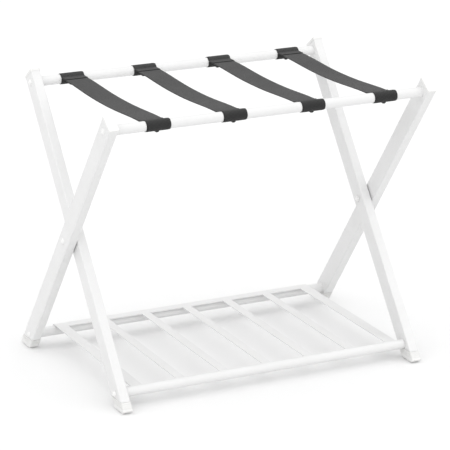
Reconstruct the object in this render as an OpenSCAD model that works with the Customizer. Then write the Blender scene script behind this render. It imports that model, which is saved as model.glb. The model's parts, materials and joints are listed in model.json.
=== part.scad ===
// Folding luggage rack: two crossed frames, four webbing straps and a slatted lower shelf.
// Millimetres, +Z up, -Y is the front. The origin is on the floor, at the centre of the footprint.

/* [Overall] */
// Width over the outer faces of the outer legs
rack_w = 600; // [560:5:680]
// Height of the pivot bolts above the floor
pivot_z = 245; // [235:0.5:260]
// Lean of each leg away from vertical, in degrees
lean = 37.2; // [34:0.2:40]
// Distance along a leg from the pivot up to the top rail
top_reach = 291.8; // [280:0.2:310]
// Distance along a leg from the pivot down to the bottom rail
bottom_reach = 275; // [262:1:277]

/* [Legs] */
// Depth of a leg, seen from the side
leg_d = 32.6; // [26:0.2:34]
// Thickness of a leg, across the rack
leg_t = 16.5; // [14:0.5:20]
// Wall of the leg tube
leg_wall = 1.2; // [1:0.1:1.6]
// Radius of the leg's corners
leg_r = 1.8; // [1.6:0.2:4]
// Gap between an outer and an inner leg, which the pivot washer fills
leg_gap = 1.7; // [1.2:0.1:3]
// How far an outer leg runs on past the top rail's axis
outer_over = 20.5; // [16:0.5:30]
// How far an inner leg runs on past the top rail's axis
inner_over = 18; // [16:0.5:30]
// Height of a foot above the floor
foot_h = 19.1; // [16:0.1:19.3]
// How far the feet and top caps stand proud of the legs all round
end_proud = 0.6; // [0.2:0.1:0.6]
// Thickness of the visible part of a top cap
cap_h = 4; // [2:0.5:5]
// Height at which the rounded toe of a foot meets the leg's line
toe_lift = 6.5; // [3:0.5:8]
// How much of the sole's length the rounded toe takes
toe_len = 16; // [12:1:20]
// Height of the narrower pad under a foot
pad_h = 2.5; // [0.5:0.5:3]

/* [Rails and screws] */
// Outer diameter of the round rails
rail_od = 17; // [16:0.5:20]
// Wall of the round rails
rail_wall = 1.2; // [1:0.1:2]
// Diameter of the rail screws and pivot bolts
screw_d = 6; // [5:0.5:8]
// Diameter of the domed screw heads
head_d = 11.5; // [10:0.5:14]
// Height of the domed screw heads
head_h = 4; // [2:0.5:5]

/* [Shelf] */
// Distance from the middle of one slat to the next
slat_pitch = 80.5; // [60:0.5:82]
// Width of the inner slats
slat_w = 16; // [12:1:20]
// Width of the two end slats
end_slat_w = 20; // [16:1:22]
// Thickness of the slats
slat_t = 1.6; // [1.4:0.2:4]
// Width of the flat part of the hook strip
strip_w = 15; // [10:0.5:30]
// Thickness of the hook strip
strip_t = 2; // [1.5:0.5:3]

/* [Straps] */
// Width of the webbing
strap_w = 43; // [38:1:60]
// Thickness of the webbing
strap_t = 1; // [0.8:0.1:2]
// Height above the rails' axes at which a strap leaves its loops
strap_rise = 2.8; // [0:0.1:8]
// How far a strap sags between the rails
strap_sag = 5.3; // [3:0.1:20]
// Half the distance between the two inner straps
inner_strap_x = 72; // [60:0.2:80]
// Half the distance between the two outer straps
outer_strap_x = 209; // [180:0.5:220]
// How far the four straps sit to the right of the middle
strap_shift = 2.5; // [-8:0.5:8]

/* [Hidden] */
$fn = 48;
face_gap = 0.3;                       // between faces of pieces that move on each other
bore_gap = 0.1;                       // radial clearance of a shank in its hole
plug_gap = 0.05;                      // round the plugs inside the tubes
outer_x = rack_w / 2 - leg_t / 2;     // middle of an outer leg
inner_x = outer_x - leg_t - leg_gap;  // middle of an inner leg
outer_in = outer_x - leg_t / 2;       // inner face of an outer leg
inner_in = inner_x - leg_t / 2;       // inner face of an inner leg
top_y = top_reach * sin(lean);
top_z = pivot_z + top_reach * cos(lean);
bottom_y = bottom_reach * sin(lean);
bottom_z = pivot_z - bottom_reach * cos(lean);
outer_up = top_reach + outer_over;    // pivot to the very top of an outer leg, with its cap
inner_up = top_reach + inner_over;
leg_down = pivot_z / cos(lean) + leg_d;   // runs on below the floor before it is cut
toe_y = pivot_z * tan(lean) + (leg_d / 2 + end_proud) / cos(lean);    // sharp toe, on the floor
toe_run = toe_len - toe_lift * tan(lean);    // from the flat sole to the end of the rounding
toe_r = (toe_run * toe_run + toe_lift * toe_lift) / (2 * toe_lift);
pad_in = 2.2;                         // how far the pad is set back
cap_plug = 5;                         // how far a cap's plug runs into its leg
plug_top = max(foot_h + 1, bottom_z - screw_d / 2 - 1);    // of a foot's plug, under the rail screw
groove_n = 3;
groove_pitch = 2.8;
groove_t = 1;
groove_cut = 0.6;
seam_t = 1.2;                         // shadow gap between a leg and its foot
seam_in = 1.5;
rail_r = rail_od / 2;
insert_len = 22;
screw_grip = 16;                      // how far a screw runs into its insert
nut_d = 11.5;
nut_h = 3.2;
washer_d = 18;
slat_n = 7;
slat_top = rail_r - 0.7;              // height of the slats' top above the front rail's axis
shelf_span = 2 * bottom_y;
hook_in = rail_r + face_gap;
hook_drop = hook_in + strip_t - slat_top;
shelf_tilt = asin(hook_drop / shelf_span);
hook_y = shelf_span * cos(shelf_tilt);    // rear rail's axis, along the shelf
strip_y = hook_y - strip_w;
shelf_half = (slat_n - 1) / 2 * slat_pitch + end_slat_w / 2;
loop_in = rail_r + face_gap;
loop_out = loop_in + strap_t;
loop_mid = loop_in + strap_t / 2;
span_end = top_y - sqrt(loop_mid * loop_mid - strap_rise * strap_rise);
sag_r = (span_end * span_end + strap_sag * strap_sag) / (2 * strap_sag);
strap_x = [for (x = [-outer_strap_x, -inner_strap_x, inner_strap_x, outer_strap_x]) x + strap_shift];
strap_screw_d = 4;
strap_head_d = 8;
strap_head_h = 2.2;
strap_screw_grip = 8;

// --- shared shapes -----------------------------------------------------------------------------

// Upright bar with rounded corners, from z = 0 up.
module rounded_bar(w, d, r, h) {
    linear_extrude(h) {
        square([w - 2 * r, d], center = true);
        square([w, d - 2 * r], center = true);
        for (sx = [-1, 1], sy = [-1, 1])
            translate([sx * (w / 2 - r), sy * (d / 2 - r)])
                circle(r);
    }
}

// Places children in a leg's own frame: origin at the pivot, +Z up along the leg.
// lean_way is 1 for an outer leg, which leans to the front, and -1 for an inner one. Below, up is
// the length of a leg above the pivot.
module along_leg(x, lean_way) {
    translate([x, 0, pivot_z])
        rotate([lean_way * lean, 0, 0])
            children();
}

// Everything between two heights above the floor.
module slab(z0, z1) {
    translate([-rack_w, -rack_w, z0])
        cube([2 * rack_w, 2 * rack_w, z1 - z0]);
}

// Round bar along X, from x0 to x1.
module x_bar(x0, x1, d) {
    translate([x0, 0, 0])
        rotate([0, 90, 0])
            cylinder(h = x1 - x0, d = d);
}

// The upper or outer part of a sphere: a dome that is d wide and h high, from z = 0 up.
module dome(d, h) {
    ball_r = (d * d / 4 + h * h) / (2 * h);
    intersection() {
        translate([0, 0, h - ball_r])
            sphere(ball_r, $fn = 64);
        cylinder(h = h + 1, d = d);
    }
}

// Domed screw that enters from +X: its head sits on x = seat and its shank runs towards -X.
module domed_screw(seat, tip) {
    translate([seat, 0, 0])
        rotate([0, 90, 0])
            dome(head_d, head_h);
    x_bar(tip, seat + head_h / 3, screw_d);
}

// Children on the right, and mirrored on the left.
module both_sides() {
    children();
    mirror([1, 0, 0])
        children();
}

// --- frames --------------------------------------------------------------------------------------

module leg(x, lean_way, up) {
    color("white")
        difference() {
            along_leg(x, lean_way)
                difference() {
                    translate([0, 0, -leg_down])
                        rounded_bar(leg_t, leg_d, leg_r, leg_down + up - cap_h);
                    translate([0, 0, -leg_down - 1])
                        rounded_bar(leg_t - 2 * leg_wall, leg_d - 2 * leg_wall, leg_r - leg_wall,
                                    leg_down + up + 2);
                    for (z = [top_reach, 0, -bottom_reach])
                        translate([0, 0, z])
                            x_bar(-leg_t, leg_t, screw_d + 2 * bore_gap);
                }
            slab(-leg_d * 3, foot_h);
        }
}

module top_cap(x, lean_way, up) {
    inner = 2 * (leg_wall + plug_gap);
    wide = leg_t + 2 * end_proud;
    deep = leg_d + 2 * end_proud;
    color("ivory")
        along_leg(x, lean_way) {
            translate([0, 0, up - cap_h])
                rounded_bar(wide, deep, leg_r + end_proud, cap_h);
            translate([0, 0, up - cap_h - cap_plug])
                rounded_bar(leg_t - inner, leg_d - inner, leg_r - leg_wall, cap_plug + 1);
        }
}

// Part of a leg-shaped bar between two heights. It stands out from the leg by "out" all round.
module foot_slice(x, lean_way, out, r, z0, z1) {
    intersection() {
        along_leg(x, lean_way)
            translate([0, 0, -leg_down])
                rounded_bar(leg_t + 2 * out, leg_d + 2 * out, r, leg_down);
        slab(z0, z1);
    }
}

// Ring that is cut into a foot from outside, between two heights.
module foot_groove(x, lean_way, out, z0, z1) {
    difference() {
        translate([x - leg_t, -rack_w, z0])
            cube([2 * leg_t, 2 * rack_w, z1 - z0]);
        along_leg(x, lean_way)
            translate([0, 0, -leg_down])
                rounded_bar(leg_t + 2 * out, leg_d + 2 * out, leg_r + out, leg_down);
    }
}

module foot(x, lean_way) {
    plug_in = leg_wall + plug_gap;
    color("ivory")
        difference() {
            union() {
                foot_slice(x, lean_way, end_proud, leg_r + end_proud, pad_h, foot_h);
                foot_slice(x, lean_way, end_proud - pad_in, leg_r, 0, pad_h + 1);
                foot_slice(x, lean_way, -plug_in, leg_r - leg_wall, foot_h - 1, plug_top);
            }
            // rounded toe
            mirror([0, lean_way < 0 ? 1 : 0, 0])
                difference() {
                    translate([x - leg_t, toe_y - toe_len, -1])
                        cube([2 * leg_t, leg_d, toe_lift + 1]);
                    translate([0, toe_y - toe_len, toe_r])
                        x_bar(-rack_w, rack_w, 2 * toe_r);
                }
            // room for the end of the rail above
            translate([0, lean_way * bottom_y, bottom_z])
                x_bar(leg_t / 2 - abs(x), abs(x) - leg_t / 2, rail_od + 2 * face_gap);
            // seam under the leg's end, and grip grooves below it
            foot_groove(x, lean_way, end_proud - seam_in, foot_h - seam_t, foot_h);
            for (i = [1:groove_n]) {
                z = foot_h - seam_t - i * groove_pitch;
                foot_groove(x, lean_way, end_proud - groove_cut, z, z + groove_t);
            }
        }
}

// Round rail between x = -half and x = half. The under_holes are for the strap screws.
module rail(half, y, z, under_holes = []) {
    color("white")
        translate([0, y, z])
            difference() {
                x_bar(-half, half, rail_od);
                x_bar(-half - 1, half + 1, rail_od - 2 * rail_wall);
                for (x = under_holes)
                    translate([x, 0, -rail_od])
                        cylinder(h = rail_od, d = strap_screw_d + 2 * bore_gap);
            }
}

// Plug that a rail screw bites into, at both ends of a rail.
module rail_inserts(half) {
    both_sides()
        difference() {
            x_bar(half - insert_len, half, rail_od - 2 * rail_wall - 2 * plug_gap);
            x_bar(half - screw_grip - 2, half + 1, screw_d + 2 * bore_gap);
        }
}

module outer_rail_screws() {
    color("whitesmoke")
        for (at = [[-top_y, top_z], [bottom_y, bottom_z]])
            translate([0, at[0], at[1]])
                both_sides()
                    domed_screw(rack_w / 2, outer_in - screw_grip);
}

module outer_rail_inserts() {
    color("dimgray")
        for (at = [[-top_y, top_z], [bottom_y, bottom_z]])
            translate([0, at[0], at[1]])
                rail_inserts(outer_in);
}

module inner_rail_screws() {
    color("whitesmoke")
        translate([0, top_y, top_z])
            both_sides()
                domed_screw(inner_x + leg_t / 2, inner_in - screw_grip);
}

module inner_rail_inserts() {
    color("dimgray")
        translate([0, top_y, top_z])
            rail_inserts(inner_in);
}

// --- pivot ---------------------------------------------------------------------------------------

module pivot_bolt() {
    color("whitesmoke")
        translate([0, 0, pivot_z])
            domed_screw(rack_w / 2, inner_in - face_gap - nut_h);
}

module pivot_washer() {
    color("gainsboro")
        translate([0, 0, pivot_z])
            difference() {
                x_bar(inner_x + leg_t / 2 + face_gap, outer_in, washer_d);
                x_bar(inner_x, outer_x, screw_d + 2 * bore_gap);
            }
}

// Cap nut on the inner face of an inner leg. It turns with the bolt.
module pivot_nut() {
    color("whitesmoke")
        translate([inner_in - face_gap, 0, pivot_z])
            rotate([0, -90, 0])
                difference() {
                    union() {
                        cylinder(h = nut_h, d = nut_d, $fn = 6);
                        translate([0, 0, nut_h])
                            dome(nut_d - 2.5, 2.4);
                    }
                    translate([0, 0, -1])
                        cylinder(h = nut_h + 1.2, d = screw_d + 2 * bore_gap);
                }
}

// --- shelf ---------------------------------------------------------------------------------------

// The shelf's own frame: origin on the front rail's axis, +Y back to the rear rail, +Z up.
module in_shelf() {
    translate([0, -bottom_y, bottom_z])
        rotate([shelf_tilt, 0, 0])
            children();
}

module shelf_rail_front() {
    rail(inner_in - face_gap, -bottom_y, bottom_z);
}

module shelf_slat(i) {
    w = (i == 1 || i == slat_n) ? end_slat_w : slat_w;
    color("white")
        in_shelf()
            difference() {
                translate([(i - (slat_n + 1) / 2) * slat_pitch - w / 2, 0, slat_top - slat_t])
                    cube([w, strip_y, slat_t]);
                x_bar(-rack_w, rack_w, rail_od);
            }
}

// Flat strip that lies on the rear rail.
module shelf_hook_strip() {
    color("white")
        in_shelf()
            translate([-shelf_half, strip_y, slat_top - strip_t])
                cube([2 * shelf_half, hook_y - strip_y, strip_t]);
}

// Lip that curls down from the strip's edge, behind the rear rail.
module shelf_hook_lip() {
    color("white")
        in_shelf()
            translate([0, hook_y, slat_top - strip_t - hook_in])
                intersection() {
                    difference() {
                        x_bar(-shelf_half, shelf_half, 2 * (hook_in + strip_t));
                        x_bar(-rack_w, rack_w, 2 * hook_in);
                    }
                    translate([-rack_w, 0, 0])
                        cube([2 * rack_w, rail_od, rail_od]);
                }
}

module shelf_pivot_screws() {
    color("whitesmoke")
        translate([0, -bottom_y, bottom_z])
            both_sides()
                domed_screw(inner_x + leg_t / 2 + face_gap, inner_in - screw_grip);
}

module shelf_rail_inserts() {
    color("dimgray")
        translate([0, -bottom_y, bottom_z])
            rail_inserts(inner_in - face_gap);
}

// --- straps --------------------------------------------------------------------------------------

// One strap: a loop round each top rail and the sagging web between them.
module strap(i) {
    x = strap_x[i - 1];
    color([0.39, 0.39, 0.39])
        translate([x, 0, top_z])
            difference() {
                union() {
                    for (side = [-1, 1])
                        translate([0, side * top_y, 0])
                            x_bar(-strap_w / 2, strap_w / 2, 2 * loop_out);
                    intersection() {
                        translate([0, 0, strap_rise + sag_r - strap_sag])
                            difference() {
                                x_bar(-strap_w / 2, strap_w / 2, 2 * sag_r + strap_t, $fn = 96);
                                x_bar(-strap_w, strap_w, 2 * sag_r - strap_t, $fn = 96);
                            }
                        translate([-strap_w, -span_end, -4 * strap_sag])
                            cube([2 * strap_w, 2 * span_end, 5 * strap_sag]);
                    }
                }
                for (side = [-1, 1])
                    translate([0, side * top_y, 0]) {
                        x_bar(-strap_w, strap_w, 2 * loop_in);
                        translate([0, 0, -2 * loop_out])
                            cylinder(h = 2 * loop_out, d = strap_screw_d + 2 * face_gap);
                    }
            }
}

// Small dark screws that hold the loops to a rail from below.
module strap_screws(y) {
    color([0.2, 0.2, 0.2])
        for (x = strap_x)
            translate([x, y, top_z - loop_out - face_gap]) {
                mirror([0, 0, 1])
                    dome(strap_head_d, strap_head_h);
                translate([0, 0, -strap_head_h / 3])
                    cylinder(h = strap_screw_grip, d = strap_screw_d);
            }
}

// --- nodes ---------------------------------------------------------------------------------------

leg(-outer_x, 1, outer_up);  // outer_leg_left
leg(outer_x, 1, outer_up);  // outer_leg_right
top_cap(-outer_x, 1, outer_up);  // outer_top_cap_left
top_cap(outer_x, 1, outer_up);  // outer_top_cap_right
foot(-outer_x, 1);  // outer_foot_left
foot(outer_x, 1);  // outer_foot_right
rail(outer_in, -top_y, top_z, strap_x);  // top_rail_front
rail(outer_in, bottom_y, bottom_z);  // bottom_rail_back
outer_rail_screws();
outer_rail_inserts();
mirror([1, 0, 0]) pivot_bolt();  // pivot_bolt_left
pivot_bolt();  // pivot_bolt_right
mirror([1, 0, 0]) pivot_washer();  // pivot_washer_left
pivot_washer();  // pivot_washer_right
mirror([1, 0, 0]) pivot_nut();  // pivot_nut_left
pivot_nut();  // pivot_nut_right
leg(-inner_x, -1, inner_up);  // inner_leg_left
leg(inner_x, -1, inner_up);  // inner_leg_right
top_cap(-inner_x, -1, inner_up);  // inner_top_cap_left
top_cap(inner_x, -1, inner_up);  // inner_top_cap_right
foot(-inner_x, -1);  // inner_foot_left
foot(inner_x, -1);  // inner_foot_right
rail(inner_in, top_y, top_z, strap_x);  // top_rail_back
inner_rail_screws();
inner_rail_inserts();
shelf_rail_front();
shelf_slat(1);  // shelf_slat_1
shelf_slat(2);  // shelf_slat_2
shelf_slat(3);  // shelf_slat_3
shelf_slat(4);  // shelf_slat_4
shelf_slat(5);  // shelf_slat_5
shelf_slat(6);  // shelf_slat_6
shelf_slat(7);  // shelf_slat_7
shelf_hook_strip();
shelf_hook_lip();
shelf_pivot_screws();
shelf_rail_inserts();
strap(1);  // strap_1
strap(2);  // strap_2
strap(3);  // strap_3
strap(4);  // strap_4
strap_screws(-top_y);  // strap_screws_front
strap_screws(top_y);  // strap_screws_back
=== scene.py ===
"""Looks of the folding luggage rack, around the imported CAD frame.

It makes the webbing straps, the materials, the studio and the camera.
"""
import json
import math

import bmesh
import bpy
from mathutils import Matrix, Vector


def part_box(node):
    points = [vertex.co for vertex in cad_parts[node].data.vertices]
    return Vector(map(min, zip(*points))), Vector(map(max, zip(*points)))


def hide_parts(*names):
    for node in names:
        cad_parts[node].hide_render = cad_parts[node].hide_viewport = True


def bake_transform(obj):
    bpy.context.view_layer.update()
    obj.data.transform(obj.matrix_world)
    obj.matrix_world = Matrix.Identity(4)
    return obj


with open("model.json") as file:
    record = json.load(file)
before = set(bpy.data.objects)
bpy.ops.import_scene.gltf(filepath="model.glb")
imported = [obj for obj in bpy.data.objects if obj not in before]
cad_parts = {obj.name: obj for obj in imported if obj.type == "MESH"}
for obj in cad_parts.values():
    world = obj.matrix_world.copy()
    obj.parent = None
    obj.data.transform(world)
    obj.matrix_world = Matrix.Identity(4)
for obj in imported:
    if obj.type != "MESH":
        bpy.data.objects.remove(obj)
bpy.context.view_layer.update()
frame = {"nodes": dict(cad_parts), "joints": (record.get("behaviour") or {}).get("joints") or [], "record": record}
NODES = frame["nodes"]
MM = 0.001

# The radius, the thickness and the rise are part.scad's. The gap and the sag are set here.
RAIL_R = 8.5 * MM
LOOP_GAP = 0.1 * MM
WEB_T = 1.0 * MM
WEB_RISE = 2.8 * MM                          # of the web's ends above the rails' axes
WEB_SAG = 5.0 * MM                           # of the web's middle below its ends


# --- positions from the frame ------------------------------------------------------------------

def middle(node):
    low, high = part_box(node)
    return (Vector(low) + Vector(high)) / 2


PIVOT_Z = frame["joints"][0]["pos_m"][2]
FRONT_RAIL = middle("top_rail_front")


# --- node helpers ------------------------------------------------------------------------------

class Tree:
    """Short names for building one material's nodes."""

    def __init__(self, name):
        self.material = bpy.data.materials.new(name)
        self.material.use_nodes = True
        self.nodes = self.material.node_tree.nodes
        self.links = self.material.node_tree.links
        self.shader = self.nodes["Principled BSDF"]
        self.coords = self.nodes.new("ShaderNodeTexCoord").outputs["Object"]

    def link(self, value, socket):
        if isinstance(value, bpy.types.NodeSocket):
            self.links.new(value, socket)
        else:
            socket.default_value = value

    def shade(self, **values):
        for name, value in values.items():
            self.link(value, self.shader.inputs[name.replace("_", " ")])

    def math(self, operation, a, b=0.0, clamp=False):
        node = self.nodes.new("ShaderNodeMath")
        node.operation = operation
        node.use_clamp = clamp
        self.link(a, node.inputs[0])
        self.link(b, node.inputs[1])
        return node.outputs[0]

    def noise(self, scale, detail=2.0, roughness=0.5, coords=None):
        node = self.nodes.new("ShaderNodeTexNoise")
        self.link(coords or self.coords, node.inputs["Vector"])
        node.inputs["Scale"].default_value = scale
        node.inputs["Detail"].default_value = detail
        node.inputs["Roughness"].default_value = roughness
        return node.outputs["Fac"]

    def span(self, value, low, high, from_low=0.0, from_high=1.0):
        """value, moved from one range to another and clamped."""
        node = self.nodes.new("ShaderNodeMapRange")
        self.link(value, node.inputs["Value"])
        node.inputs["From Min"].default_value = from_low
        node.inputs["From Max"].default_value = from_high
        node.inputs["To Min"].default_value = low
        node.inputs["To Max"].default_value = high
        return node.outputs["Result"]

    def mix(self, factor, a, b):
        node = self.nodes.new("ShaderNodeMix")
        node.data_type = "RGBA"
        self.link(factor, node.inputs["Factor"])
        self.link(a, node.inputs["A"])
        self.link(b, node.inputs["B"])
        return node.outputs["Result"]

    def bump(self, height, distance, strength=1.0, after=None):
        node = self.nodes.new("ShaderNodeBump")
        self.link(height, node.inputs["Height"])
        node.inputs["Distance"].default_value = distance
        node.inputs["Strength"].default_value = strength
        if after is not None:
            self.link(after, node.inputs["Normal"])
        return node.outputs["Normal"]


def grey(r, g=None, b=None):
    return (r, r if g is None else g, r if b is None else b, 1.0)


# --- path of a strap ---------------------------------------------------------------------------

LOOP_R = RAIL_R + LOOP_GAP + WEB_T / 2       # middle of the webbing in a loop
LAP_END = 25 * MM                            # from a rail's axis to the cut end on top of the web
LAP_STEP = WEB_T + 0.06 * MM
LEVEL_FROM = 0.92                            # share of the half span beyond which the web is level
SAG_SHAPE = 1.2                              # over 1, the web is flatter at mid span
TOP_FILLET = 3.0 * MM                        # where the lap climbs into the loop
LOW_FILLET = 2.0 * MM                        # where the loop runs out into the web
LAP_STEPS = 8
TOP_STEPS = 8
TURN_STEPS = 48
LOW_STEPS = 6
WEB_STEPS = 72
SPAN_END = FRONT_RAIL.y + math.sqrt(LOOP_R ** 2 - WEB_RISE ** 2)     # y of the front loop's end


def web_height(y, sag):
    """Height of the web above the rails' axes at y: level near the rails and at mid span."""
    reach = min(1.0, abs(y / SPAN_END) / LEVEL_FROM)
    return WEB_RISE - sag * (1 + math.cos(math.pi * reach ** SAG_SHAPE)) / 2


def corner(height, fillet):
    """Where a level run at this height meets the loop: the fillet's centre, and its angle.

    Both are seen from the rail's axis. A fillet below the run is negative.
    """
    centre_z = height + fillet
    reach = LOOP_R + abs(fillet)
    centre_y = math.sqrt(reach ** 2 - centre_z ** 2)
    return centre_y, centre_z, math.atan2(centre_z, centre_y)


def end_path(sag):
    """Front end of a strap, from the cut end on the web, over and round the rail, to the web below.

    Points are (y, z) from the rail's axis, with +y towards the other rail.
    """
    high_y, high_z, first = corner(WEB_RISE + LAP_STEP, TOP_FILLET)
    low_y, low_z, last = corner(WEB_RISE, -LOW_FILLET)
    points = []
    for i in range(LAP_STEPS):                # the lap, from its cut end to the rail
        y = LAP_END + (high_y - LAP_END) * i / LAP_STEPS
        points.append((y, web_height(FRONT_RAIL.y + y, sag) + LAP_STEP))
    for i in range(TOP_STEPS + 1):            # up into the loop
        a = math.radians(-90) - (math.radians(90) - first) * i / TOP_STEPS
        points.append((high_y + TOP_FILLET * math.cos(a), high_z + TOP_FILLET * math.sin(a)))
    turn = 2 * math.pi - (first - last)
    for i in range(1, TURN_STEPS):            # over the rail, down its outer side and under it
        a = first + turn * i / TURN_STEPS
        points.append((LOOP_R * math.cos(a), LOOP_R * math.sin(a)))
    for i in range(LOW_STEPS + 1):            # out of the loop's lower corner into the web
        a = math.pi + last - (math.radians(90) + last) * i / LOW_STEPS
        points.append((low_y + LOW_FILLET * math.cos(a), low_z + LOW_FILLET * math.sin(a)))
    return points


def strap_path(sag):
    """The whole strap's middle line as (y, z), from the front cut end to the back one."""
    axis = FRONT_RAIL
    front = [(axis.y + y, axis.z + z) for y, z in end_path(sag)]
    back = [(-y, z) for y, z in reversed(front)]
    reach = front[-1][0]
    web = []
    for i in range(1, WEB_STEPS):
        y = reach * (1 - 2 * i / WEB_STEPS)
        web.append((y, axis.z + web_height(y, sag)))
    return front + web + back


# --- materials -----------------------------------------------------------------------------------

def coated_metal(name, colour, dull, roughness, peel=1.0):
    """Powder coat: fine orange peel, faint cloudiness, and slightly rubbed corners."""
    t = Tree(name)
    cloud = t.noise(22.0, 3.0, 0.55)
    corners = t.nodes.new("ShaderNodeNewGeometry").outputs["Pointiness"]
    rubbed = t.span(corners, 0.0, 1.0, 0.52, 0.60)
    scuffs = t.span(t.noise(160.0, 4.0, 0.7), 0.0, 1.0, 0.56, 0.74)
    tint = t.mix(t.span(cloud, 0.0, 1.0, 0.35, 0.65), colour, dull)
    t.shade(
        Base_Color=tint,
        Roughness=t.math("ADD", t.span(cloud, roughness - 0.04, roughness + 0.05, 0.3, 0.7),
                         t.math("MULTIPLY", t.math("ADD", scuffs, rubbed), 0.03)),
        IOR=1.5,
        Normal=t.bump(t.noise(950.0, 2.0, 0.45), 0.00007 * peel,
                      after=t.bump(t.noise(240.0, 1.0, 0.4), 0.00012 * peel)),
    )
    t.shader.inputs["Coat Weight"].default_value = 0.12
    t.shader.inputs["Coat Roughness"].default_value = 0.25
    return t.material


def moulded_plastic(name, colour, dull, roughness, grain=1.0):
    """Moulded plastic with a fine spark-eroded grain and a faint mottled tone."""
    t = Tree(name)
    mottle = t.noise(60.0, 3.0, 0.6)
    grain_height = t.noise(2600.0, 3.0, 0.6)
    t.shade(
        Base_Color=t.mix(t.span(mottle, 0.0, 1.0, 0.35, 0.65), colour, dull),
        Roughness=t.span(mottle, roughness - 0.05, roughness + 0.06, 0.3, 0.7),
        IOR=1.47,
        Normal=t.bump(grain_height, 0.00006 * grain),
    )
    return t.material


def webbing(name, light, dark, half_length, half_web, half_width, loop_shade):
    """Plain-woven webbing. UV runs in metres: U across the strap, V along it.

    half_web is half of the free span. The loops beyond it are darker, by loop_shade, as painted shade; the lap
    near each cut end, which faces up, is lighter again, as painted light.
    """
    warp_pitch, weft_pitch = 1.3 * MM, 1.6 * MM
    rib_pitch, rib_zigzag = 5.6 * MM, 4.3 * MM
    # Where the loops' painted shade starts, and where the lap's painted light fades in
    painted_shade_from, painted_shade_to = -2 * MM, 4 * MM                      # from the end of the free span
    lap_from, lap_to, lap_painted_light = 38 * MM, 18 * MM, 0.42      # from the cut end
    selvedge_from, selvedge_to, selvedge_shade = 1.9 * MM, 1.2 * MM, 0.62
    t = Tree(name)
    uv = t.nodes.new("ShaderNodeUVMap")
    uv.uv_map = "weave"
    wobble = t.noise(45.0, 2.0, 0.5, uv.outputs["UV"])
    split = t.nodes.new("ShaderNodeSeparateXYZ")
    t.link(uv.outputs["UV"], split.inputs[0])
    across, along = split.outputs["X"], split.outputs["Y"]
    sway = t.math("MULTIPLY", t.math("SUBTRACT", wobble, 0.5), 0.5)
    warp = t.math("SINE", t.math("ADD", t.math("MULTIPLY", across, math.pi / warp_pitch), sway))
    weft = t.math("SINE", t.math("ADD", t.math("MULTIPLY", along, math.pi / weft_pitch), sway))
    over = t.math("MULTIPLY", warp, weft)                     # +1 where a warp thread is on top
    warp_round = t.math("ABSOLUTE", warp)
    weft_round = t.math("ABSOLUTE", weft)
    on_top = t.math("MULTIPLY", t.span(over, 0.0, 1.0, -0.25, 0.25), warp_round)
    below = t.math("MULTIPLY", t.span(over, 1.0, 0.0, -0.25, 0.25), weft_round)
    threads = t.math("MAXIMUM", on_top, below)
    fibre = t.noise(5200.0, 2.0, 0.7, uv.outputs["UV"])
    height = t.math("ADD", threads, t.math("MULTIPLY", fibre, 0.22))
    from_middle = t.math("ABSOLUTE", t.math("SUBTRACT", along, half_length))
    # Painted shade on the loops, which face away from the light, and painted light on the upward-facing lap near
    # the cut end
    painted_loop_shade = t.span(from_middle, 1.0, loop_shade, half_web + painted_shade_from, half_web + painted_shade_to)
    painted_lap_light = t.span(from_middle, 0.0, lap_painted_light, half_length - lap_from, half_length - lap_to)
    from_centre = t.math("ABSOLUTE", t.math("SUBTRACT", across, half_width))
    selvedge = t.span(from_centre, 1.0, selvedge_shade,
                      half_width - selvedge_from, half_width - selvedge_to)
    zigzag = t.math("MULTIPLY", t.math("PINGPONG", across, rib_zigzag), math.tau / rib_zigzag)
    ribs = t.math("SINE", t.math("ADD", t.math("MULTIPLY", along, math.tau / rib_pitch), zigzag))
    tone = t.math("MULTIPLY", t.math("MULTIPLY", t.math("ADD", painted_loop_shade, painted_lap_light), selvedge),
                  t.span(ribs, 0.70, 1.06, -1.0, 1.0))
    worn = t.span(t.noise(26.0, 4.0, 0.6), 0.0, 0.35, 0.42, 0.75)
    # Painted shade: the gaps between the threads take the dark colour and the thread tops the light one; worn adds
    # random paler patches of wear
    shade = t.math("ADD", t.math("MULTIPLY", threads, 0.75), worn, clamp=True)
    t.shade(
        Base_Color=t.mix(tone, grey(0.0), t.mix(shade, dark, light)),
        Roughness=t.span(threads, 0.92, 0.72),
        Normal=t.bump(height, 0.00022, 0.8),
    )
    t.shader.inputs["IOR"].default_value = 1.42
    t.shader.inputs["Sheen Weight"].default_value = 0.085
    t.shader.inputs["Sheen Roughness"].default_value = 0.45
    t.shader.inputs["Sheen Tint"].default_value = grey(0.75)
    return t.material


def floor_material():
    t = Tree("pale_floor")
    t.shade(Base_Color=grey(0.84), Roughness=0.9, IOR=1.2)
    return t.material


POWDER = coated_metal("white_powder_coat", grey(0.755), grey(0.74, 0.74, 0.738), 0.42)
SCREW = coated_metal("white_screw", grey(0.82, 0.82, 0.815), grey(0.79, 0.79, 0.785), 0.22,
                     peel=0.3)
DARK_SCREW = coated_metal("strap_screw", grey(0.035), grey(0.028), 0.38, peel=0.4)
PLASTIC = moulded_plastic("white_plastic", grey(0.79, 0.789, 0.780), grey(0.775, 0.774, 0.763),
                          0.50)
NYLON = moulded_plastic("nylon_washer", grey(0.73, 0.725, 0.70), grey(0.70, 0.695, 0.67), 0.38,
                        grain=0.5)
INSERT = moulded_plastic("rail_insert", grey(0.06), grey(0.045), 0.55)
THREAD = moulded_plastic("strap_thread", grey(0.10), grey(0.075), 0.7, grain=2.0)

STRAP_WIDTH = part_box("strap_1")[1][0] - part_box("strap_1")[0][0]
STRAP_PATH = strap_path(WEB_SAG)
STRAP_LENGTH = sum(math.dist(a, b) for a, b in zip(STRAP_PATH, STRAP_PATH[1:]))
# The second colour is the painted shade in the gaps between threads
WEBBING = webbing("strap_webbing", grey(0.068), grey(0.0345), half_length=STRAP_LENGTH / 2,
                  # loop_shade: the painted shade on the loops
                  half_web=abs(SPAN_END), half_width=STRAP_WIDTH / 2, loop_shade=0.41)

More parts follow.
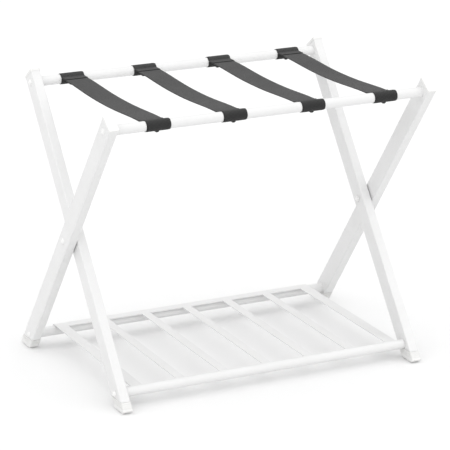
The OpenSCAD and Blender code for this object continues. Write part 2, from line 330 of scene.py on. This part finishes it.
SLOT_MATERIALS = {
    "white_powder_coat": POWDER,
    "white_plastic": PLASTIC,
    "white_screw": SCREW,
    "rail_insert": INSERT,
    "nylon_washer": NYLON,
    "strap_webbing": WEBBING,
    "strap_screw": DARK_SCREW,
}

for part in frame["record"]["subparts"]:
    mesh = NODES[part["node"]].data
    mesh.materials.clear()
    mesh.materials.append(SLOT_MATERIALS[part["material_slot"]])


# --- straps --------------------------------------------------------------------------------------

ACROSS_STEPS = 14
SELVEDGE_R = 0.5 * MM
SELVEDGE_THIN = 0.35                         # thickness at the very edge, as a share
CUP = 0.5 * MM                               # how much lower a web's middle line is than its edges
STITCH_PITCH, STITCH_LENGTH, STITCH_THICK = 3.0 * MM, 2.1 * MM, 0.5 * MM
STITCH_ROW_GAP = 9 * MM
STITCHES_IN = 4.5 * MM                       # from the end of the span to the first row


def link_mesh(name, mesh, material):
    """A smooth-shaded object from a bmesh."""
    for face in mesh.faces:
        face.smooth = True
    data = bpy.data.meshes.new(name)
    mesh.to_mesh(data)
    mesh.free()
    data.materials.append(material)
    piece = bpy.data.objects.new(name, data)
    bpy.context.scene.collection.objects.link(piece)
    return piece


def ribbon(name, path, x, width, lean):
    """A closed strip of webbing along path, with rounded selvedges and its UV in metres.

    At mid span, lean lowers its left edge and raises its right edge by as much.
    """
    half_profile = []
    for i in range(ACROSS_STEPS + 1):
        u = -1 + 2 * i / ACROSS_STEPS
        edge = min(1.0, (1 - abs(u)) * width / 2 / SELVEDGE_R)
        rounding = math.sqrt(max(0.0, 1 - (1 - edge) ** 2))
        half_profile.append((u, WEB_T / 2 * (SELVEDGE_THIN + (1 - SELVEDGE_THIN) * rounding)))
    lengths = [0.0]
    for a, b in zip(path, path[1:]):
        lengths.append(lengths[-1] + math.dist(a, b))
    mesh = bmesh.new()
    uv = mesh.loops.layers.uv.new("weave")
    rings = []
    for i, (y, z) in enumerate(path):
        before, after = path[max(i - 1, 0)], path[min(i + 1, len(path) - 1)]
        run = Vector((after[0] - before[0], after[1] - before[1])).normalized()
        normal = Vector((-run.y, run.x))
        inside = max(0.0, 1 - (y / SPAN_END) ** 2)       # 0 at the rails, 1 at mid span
        ring = []
        for side in (1, -1):
            for u, t in (half_profile if side == 1 else reversed(half_profile)):
                dip = inside * (lean * u - CUP * (1 - u * u))
                ring.append(mesh.verts.new((
                    x + u * width / 2,
                    y + normal.x * t * side,
                    z + normal.y * t * side + dip,
                )))
        rings.append(ring)
    count = len(rings[0])
    for i in range(len(rings) - 1):
        for k in range(count):
            n = (k + 1) % count
            face = mesh.faces.new((rings[i][k], rings[i][n], rings[i + 1][n], rings[i + 1][k]))
            for loop in face.loops:
                along = lengths[i] if loop.vert in rings[i] else lengths[i + 1]
                loop[uv].uv = (loop.vert.co.x - x + width / 2, along)
    for ring in (rings[0], rings[-1]):
        half = count // 2
        for k in range(half - 1):
            mesh.faces.new((ring[k], ring[k + 1], ring[count - 2 - k], ring[count - 1 - k]))
    bmesh.ops.recalc_face_normals(mesh, faces=mesh.faces)
    return link_mesh(name, mesh, WEBBING), lengths[-1]


def stitch_rows(name, x, width, sag, side):
    """Two rows of stitches across a strap, through the web and the lap on top of it."""
    mesh = bmesh.new()
    count = int(width // STITCH_PITCH) - 1
    for row in (0, 1):
        at = side * (abs(SPAN_END) - STITCHES_IN - row * STITCH_ROW_GAP)
        for face_side in (1, -1):
            z = FRONT_RAIL.z + web_height(at, sag)
            z += WEB_T / 2 + LAP_STEP if face_side == 1 else -WEB_T / 2
            for i in range(count):
                centre = Vector((x + (i - (count - 1) / 2) * STITCH_PITCH, at, z))
                stitch = bmesh.ops.create_uvsphere(mesh, u_segments=8, v_segments=6, radius=0.5)
                size = Vector((STITCH_LENGTH, STITCH_THICK, STITCH_THICK * 0.8))
                for v in stitch["verts"]:
                    v.co = v.co * size + centre
    return link_mesh(name, mesh, THREAD)


SAG_CHANGE = [0.0, 0.35, -0.3, 0.2]          # mm, so that no two straps hang quite alike
LEAN = [0.25, -0.2, 0.15, -0.3]              # mm
STITCH_MARGIN = 2 * MM                       # between a row's ends and the selvedges
for number in range(1, 5):
    node = f"strap_{number}"
    low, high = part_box(node)
    x, width = (low[0] + high[0]) / 2, high[0] - low[0]
    sag = WEB_SAG + SAG_CHANGE[number - 1] * MM
    piece, length = ribbon(f"webbing_{number}", strap_path(sag), x, width, LEAN[number - 1] * MM)
    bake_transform(piece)
    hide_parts(node)
    for side, word in ((1, "back"), (-1, "front")):
        seam = stitch_rows(f"stitches_{word}_{number}", x, width - 2 * STITCH_MARGIN, sag, side)
        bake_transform(seam)


# --- studio --------------------------------------------------------------------------------------

FLOOR_SIZE = 30
LIGHT_AWAY = 3                               # only the direction of these lights counts

bpy.ops.mesh.primitive_plane_add(size=FLOOR_SIZE, location=(0, 0, 0))
floor = bpy.context.object
floor.name = "studio_floor"
floor.data.materials.append(floor_material())

world = bpy.data.worlds.new("studio")
bpy.context.scene.world = world
world.use_nodes = True
background = world.node_tree.nodes["Background"]
background.inputs["Color"].default_value = grey(1.0)
background.inputs["Strength"].default_value = 0.80


def soft_light(name, towards, spread, strength):
    """Even light from one direction, as from a large soft box far away."""
    data = bpy.data.lights.new(name, "SUN")
    data.angle = math.radians(spread)
    data.energy = strength
    light = bpy.data.objects.new(name, data)
    light.rotation_euler = Vector(towards).to_track_quat("Z", "Y").to_euler()
    light.location = Vector(towards) * LIGHT_AWAY
    bpy.context.scene.collection.objects.link(light)


soft_light("key_light", (-0.12, -0.36, 0.93), 130, 1.62)
soft_light("side_light", (-0.95, -0.15, 0.35), 60, 0.04)

bpy.context.scene.view_settings.view_transform = "Standard"

# --- camera --------------------------------------------------------------------------------------

camera = bpy.data.objects.new("camera", bpy.data.cameras.new("camera"))
camera.data.sensor_width = 36
camera.data.lens = 197.48
azimuth, elevation, distance = math.radians(-26.268), math.radians(17.215), 4.2656
back = Vector((
    math.sin(azimuth) * math.cos(elevation),
    -math.cos(azimuth) * math.cos(elevation),
    math.sin(elevation),
))
looks_at = Vector((0.00243, 0, PIVOT_Z - 0.01309))
camera.location = looks_at + back * distance
camera.rotation_mode = "QUATERNION"
camera.rotation_quaternion = (-back).to_track_quat("-Z", "Y")
camera.data.clip_start, camera.data.clip_end = 0.05, 100
bpy.context.scene.collection.objects.link(camera)
bpy.context.scene.camera = camera
